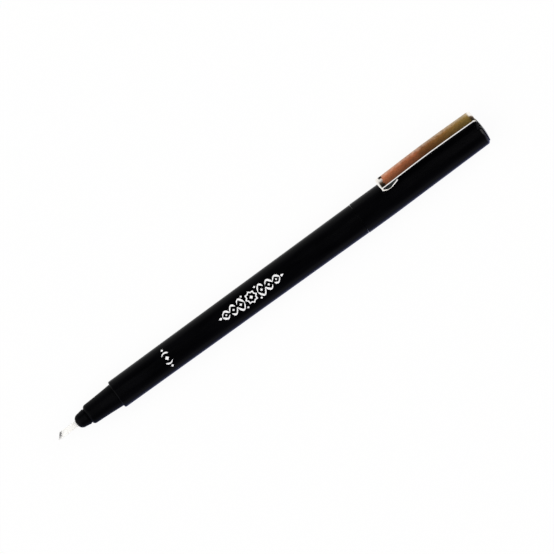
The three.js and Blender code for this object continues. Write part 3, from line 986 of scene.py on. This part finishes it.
def strip_path():
    """The strip's middle line, with close points where it narrows to its leg."""
    arm = ARM_FLOOR + CLIP_THICKNESS / 2
    bow = arm + BOW_RISE
    free = bow - BOW_FALL
    fold = CLIP_FREE + CLIP_THICKNESS / 2
    foot = cap_radius_at(CLIP_FREE + FOOT_START) + FOOT_GAP + CLIP_THICKNESS / 2
    path = rounded([
        (LEG_STATION - TANG_DEPTH, TANG_RADIUS - TANG_LIP),
        (LEG_STATION - TANG_DEPTH, TANG_RADIUS, ROOT_RADIUS),
        (LEG_STATION, TANG_RADIUS, ROOT_RADIUS),
        (LEG_STATION, arm, BEND_RADIUS),
        (LEG_STATION - BOW_DISTANCE, bow, BOW_RADIUS),
        (fold, free, FOLD_RADIUS),
        (fold, free - FOLD_DROP, FOLD_RADIUS),
        (CLIP_FREE + FOOT_START, foot, FOOT_RADIUS),
        (CLIP_FREE + FOOT_START + FOOT_LENGTH, foot, FOOT_RADIUS),
        (CLIP_FREE + FOOT_TAIL, foot + FOOT_TAIL_RISE),
    ], step=5)
    fine = []
    for point, ahead in zip(path, path[1:]):
        on_leg = point.x > LEG_STATION - 1 and point.y < ARM_FLOOR
        steps = math.ceil((ahead - point).length / LEG_STEP) if on_leg else 1
        fine += [point.lerp(ahead, k / steps) for k in range(steps)]
    return fine + [path[-1]]


def strip_share(spot):
    """The strip's width at a point of its path, as a share of the arm's width."""
    if spot.x < LEG_STATION - TANG_DEPTH - CLIP_THICKNESS:
        return 1
    rise = (spot.y - ARM_FLOOR + SHOULDER_DROP) / SHOULDER_ROUND + 1
    return (LEG_WIDTH + (CLIP_WIDTH - LEG_WIDTH) * min(max(rise, 0), 1) ** 3) / CLIP_WIDTH


def make_clip():
    """One strip, hooked in the end plug, out through the notch, along the cap and folded back."""
    path = strip_path()
    section = strip_section()
    rings = []
    for i, point in enumerate(path):
        arriving = (point - path[max(i - 1, 0)]).normalized()
        leaving = (path[min(i + 1, len(path) - 1)] - point).normalized()
        along = (arriving + leaving).normalized()
        across = Vector((-along.y, along.x)) / max(along.dot(leaving), along.dot(arriving))
        ring = []
        for offset, width in section:
            spot = point + across * offset
            away = CLIP_OUT * spot.y + CLIP_SIDE * (width * strip_share(point))
            ring.append(place(spot.x, away.y, away.z))
        rings.append(ring)
    plated, edge, inner = range(3)
    strip = lofted("clip_strip", rings, sharp=35, materials=[GOLD, BRIGHT, BACK])
    flat = CLIP_WIDTH / 2 - CLIP_EDGE - HAIR
    looks = []
    for near, far in zip(section, section[1:] + section[:1]):
        on_edge = min(abs(near.y), abs(far.y)) > flat
        looks.append(edge if on_edge else plated if near.x < 0 else inner)
    looks = [edge, edge] + looks * (len(rings) - 1)
    strip.data.polygons.foreach_set("material_index", looks)
    return strip


def ribbon(line, halves, closed=False):
    """A flat stroke on the barrel: rows of three points along a line, from its half widths."""
    count = len(line)
    rows = []
    for i, point in enumerate(line):
        before = line[i - 1] if closed or i > 0 else point
        after = line[(i + 1) % count] if closed or i < count - 1 else point
        arriving = (point - before).normalized()
        leaving = (after - point).normalized()
        way = (arriving + leaving).normalized()
        mitre = max(way.dot(leaving), way.dot(arriving), MITRE_LIMIT)
        across = Vector((-way.y, way.x)) * (halves[i] / mitre)
        rows.append([point + across, point.copy(), point - across])
    return rows, closed


def wrap(name, strokes, station):
    """Lays strokes on the barrel round a station as one thin solid each, joined in one piece."""
    points = []
    faces = []
    for rows, closed in strokes:
        base = len(points)
        for row in rows:
            for lift in (PRINT_HEIGHT, -PRINT_SINK):
                for along, round_way in row:
                    radius = barrel_radius_at(station + along)
                    points.append(polar(station + along, radius + lift, round_way / radius))
        count = len(rows)
        spans = count if closed else count - 1
        for i in range(spans):
            a = base + 6 * i
            b = base + 6 * ((i + 1) % count)
            faces += [[a, a + 1, b + 1, b], [a + 1, a + 2, b + 2, b + 1]]
            faces += [[a + 3, b + 3, b + 4, a + 4], [a + 4, b + 4, b + 5, a + 5]]
            faces += [[a, b, b + 3, a + 3], [a + 2, a + 5, b + 5, b + 2]]
        if not closed:
            last = base + 6 * (count - 1)
            faces.append([base, base + 3, base + 4, base + 5, base + 2, base + 1])
            faces.append([last, last + 1, last + 2, last + 5, last + 4, last + 3])
    return make_object(name, points, faces, materials=[WHITE])


def diamond(u, v, reach):
    """A rhombic dot, as one touch of a broad pen leaves."""
    line = [Vector((u - reach + 2 * reach * k / 8, v)) for k in range(9)]
    halves = [max(0.012, reach * (1 - abs(k - 4) / 4)) for k in range(9)]
    return ribbon(line, halves)


def pen_stroke(line, thin, broad):
    """A stroke whose width follows its direction, as a broad pen's does, with tapered ends."""
    halves = []
    count = len(line)
    for i in range(count):
        way = line[min(i + 1, count - 1)] - line[max(i - 1, 0)]
        slant = math.atan2(way.y, way.x) - STROKE_ANGLE
        taper = min(1.0, STROKE_END_SHARE + STROKE_END_RATE * min(i, count - 1 - i) / count)
        halves.append((thin + (broad - thin) * abs(math.sin(slant))) / 2 * taper)
    return ribbon(line, halves)


def star(reach, width):
    """The outline of an eight-pointed star."""
    inner = reach * math.cos(math.pi / 4) / math.cos(math.pi / 8)
    line = []
    for k in range(16):
        size = inner if k % 2 else reach
        angle = math.pi * k / 8
        line.append(Vector((size * math.cos(angle), size * math.sin(angle))))
    return ribbon(line, [width / 2] * 16, closed=True)


def eye_strand(way, eye, strand):
    """One of the two strands round an eye of the plait, broken where it passes under the other."""
    begin = BAND_START + EYE_LENGTH * eye
    under = (strand == 1) == (eye % 2 == 0)
    start = begin + (PLAIT_GAP if not under and eye > 0 else 0)
    end = begin + EYE_LENGTH - (PLAIT_GAP if under and eye < len(EYE_HEIGHTS) - 1 else 0)
    line = []
    for k in range(25):
        u = start + (end - start) * k / 24
        rise = EYE_HEIGHTS[eye] * math.sin(math.pi * (u - begin) / EYE_LENGTH)
        line.append(Vector((way * u, strand * rise)))
    return pen_stroke(line, *PLAIT_WIDTHS)


def leaf(way):
    """A leaf at the band's end."""
    root = BAND_START + EYE_LENGTH * len(EYE_HEIGHTS) + LEAF_GAP
    shares = [k / 12 for k in range(13)]
    line = [Vector((way * (root + LEAF_LENGTH * share), 0)) for share in shares]
    swell = [max(0.02, LEAF_WIDTH * math.sin(math.pi * share ** LEAF_SKEW)) for share in shares]
    return ribbon(line, swell)


def make_band():
    """A star between two plaited strands, with a rhombic dot in each eye of the plait."""
    strokes = [star(STAR_REACH, STAR_STROKE), diamond(0, 0, STAR_DOT)]
    for way in (-1, 1):
        for eye in range(len(EYE_HEIGHTS)):
            strokes += [eye_strand(way, eye, strand) for strand in (-1, 1)]
            middle = BAND_START + EYE_LENGTH * (eye + 0.5)
            strokes.append(diamond(way * middle, 0, EYE_DOT - EYE_DOT_STEP * eye))
        strokes.append(leaf(way))
        for level in (-1, 1):
            strokes.append(diamond(way * BAND_START, level * SIDE_DOT_PLACE, SIDE_DOT))
    return wrap("print_band", strokes, BAND_STATION)


def make_mark():
    """A small column of rhombic dots and two short strokes round the barrel."""
    strokes = [diamond(0, 0, MARK_DOT)]
    for level in (-1, 1):
        strokes.append(diamond(0, level * MARK_END_PLACE, MARK_END_DOT))
        line = []
        for k in range(17):
            rise = MARK_STROKE_PLACE + MARK_STROKE_BOW * math.sin(math.pi * k / 16)
            line.append(Vector((MARK_STROKE_HALF * (k / 8 - 1), level * rise)))
        strokes.append(pen_stroke(line, *MARK_STROKE_WIDTHS))
    return wrap("print_mark", strokes, MARK_STATION)


dress(make_nib(), "nib", "pen")
dress(make_nose(), "nib_holder", "pen")
dress(make_grip(), "section", "pen")
dress(make_barrel(), "barrel_tube", "pen")
dress(make_tail(), "tail_plug", "pen")
dress(make_liner(), "cap_liner", "cap_seal")
dress(make_cap(), "cap_shell", "cap")
dress(make_crown(), "cap_crown", "cap")
dress(make_clip(), "clip", "clip")

for node, material in (("reservoir_core", INK), ("reservoir_film", FILM)):
    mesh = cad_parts[node].data
    mesh.materials.clear()
    mesh.materials.append(material)

for piece in (make_band(), make_mark()):
    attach(piece, "pen")


# Camera, floor, sky and lamps: distances in metres, but the sensor's width in millimetres
SENSOR = 36
CAMERA_DISTANCE = 1.2
CAMERA_RANGE = (0.1, 20)
FLOOR_REACH = 6.0
FLOOR_COLOUR = (0.92, 0.92, 0.92, 1)
FLOOR_GLOW = 0.93
FLOOR_TINT = (0.5, 0.55, 1.0)
TINT_REACH = 0.05
TINT_STRIP = [(0.0, 0.0), (0.15, 1.0), (0.5, 1.0), (0.8, 0.0)]
SKY = [(0.0, 1.0), (0.05, 0.95), (0.2, 0.55), (0.3, 0.36), (0.45, 0.24), (0.7, 0.12), (1.0, 0.06)]
SKY_TINT = (0.88, 0.84, 1.0)
SKY_TINT_RANGE = (0.2, -0.8)
LAMP_SIZE = 1.6
LAMPS = [
    ("key", (0.9, 0.05, 0.9), 16.0, (1.0, 0.98, 0.95)),
    ("fill", (-0.9, 0.05, 0.85), 14.0, (1.0, 1.0, 1.0)),
]


def make_camera():
    """A camera straight above the pen, with a long lens."""
    data = bpy.data.cameras.new("camera")
    data.sensor_width = SENSOR
    data.lens = SENSOR * CAMERA_DISTANCE / (PHOTO_PIXELS * PIXEL_SIZE * MM)
    data.clip_start, data.clip_end = CAMERA_RANGE
    camera = bpy.data.objects.new("camera", data)
    camera.location = place(PICTURE_STATION, PICTURE_SIDE, CAMERA_DISTANCE / MM)
    camera.rotation_euler = (0, 0, -PEN_ANGLE)
    bpy.context.scene.collection.objects.link(camera)
    bpy.context.scene.camera = camera


def floor_material():
    """A pale floor, which shows white but for the pen's soft shadow.

    In reflections it is a little blue beside the pen on the -Y side.
    """
    s = Shader("floor")
    s.fixed(Base_Color=FLOOR_COLOUR, Roughness=1.0, Specular_IOR_Level=0.0)
    rays = s.node("ShaderNodeLightPath").outputs
    beside = s.ramp(s.mapped(s.axes()["Y"], 0.0, -TINT_REACH), TINT_STRIP)
    tinted = s.math("MULTIPLY", beside, rays["Is Glossy Ray"])
    glow = s.node("ShaderNodeEmission")
    s.join(s.mixed(tinted, (1.0, 1.0, 1.0), FLOOR_TINT), glow.inputs["Color"])
    seen = s.math("MAXIMUM", rays["Is Camera Ray"], rays["Is Glossy Ray"])
    seen = s.math("MAXIMUM", seen, rays["Is Transmission Ray"])
    blend = s.node("ShaderNodeMixShader")
    s.join(s.math("MULTIPLY", seen, FLOOR_GLOW), blend.inputs[0])
    s.join(s.surface.outputs[0], blend.inputs[1])
    s.join(glow.outputs[0], blend.inputs[2])
    s.join(blend.outputs[0], s.tree.nodes["Material Output"].inputs["Surface"])
    return s.material


def make_floor():
    """One large square at the height of the pen's lowest point."""
    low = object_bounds()[0]
    ways = ((-1, -1), (1, -1), (1, 1), (-1, 1))
    mesh = bpy.data.meshes.new("floor")
    mesh.from_pydata([(x * FLOOR_REACH, y * FLOOR_REACH, 0) for x, y in ways], [], [(0, 1, 2, 3)])
    mesh.materials.append(floor_material())
    floor = bpy.data.objects.new("floor", mesh)
    floor.location.z = low.z
    bpy.context.scene.collection.objects.link(floor)


def make_world():
    """A studio: white near the horizon, dim overhead, its light a little cool on the -Y side."""
    world = bpy.data.worlds.new("studio")
    bpy.context.scene.world = world
    world.use_nodes = True
    sky = Nodes(world.node_tree, "Generated")
    at = sky.axes()
    unseen = sky.math("SUBTRACT", 1.0, sky.node("ShaderNodeLightPath").outputs["Is Camera Ray"])
    cool = sky.math("MULTIPLY", sky.mapped(at["Y"], *SKY_TINT_RANGE), unseen)
    background = sky.tree.nodes["Background"]
    sky.join(sky.mixed(cool, sky.ramp(at["Z"], SKY), SKY_TINT, "MULTIPLY"), background.inputs["Color"])
    background.inputs["Strength"].default_value = 1.0


def make_lamp(name, spot, watts, colour):
    """A square soft lamp that points at the middle of the pen."""
    data = bpy.data.lights.new(name, "AREA")
    data.energy = watts
    data.size = LAMP_SIZE
    data.color = colour
    lamp = bpy.data.objects.new(name, data)
    lamp.location = spot
    aim = place(PICTURE_STATION, 0, 0) - Vector(spot)
    lamp.rotation_mode = "QUATERNION"
    lamp.rotation_quaternion = aim.to_track_quat("-Z", "Y")
    bpy.context.scene.collection.objects.link(lamp)


make_camera()
make_floor()
make_world()
for lamp in LAMPS:
    make_lamp(*lamp)
bpy.context.scene.view_settings.view_transform = "Standard"
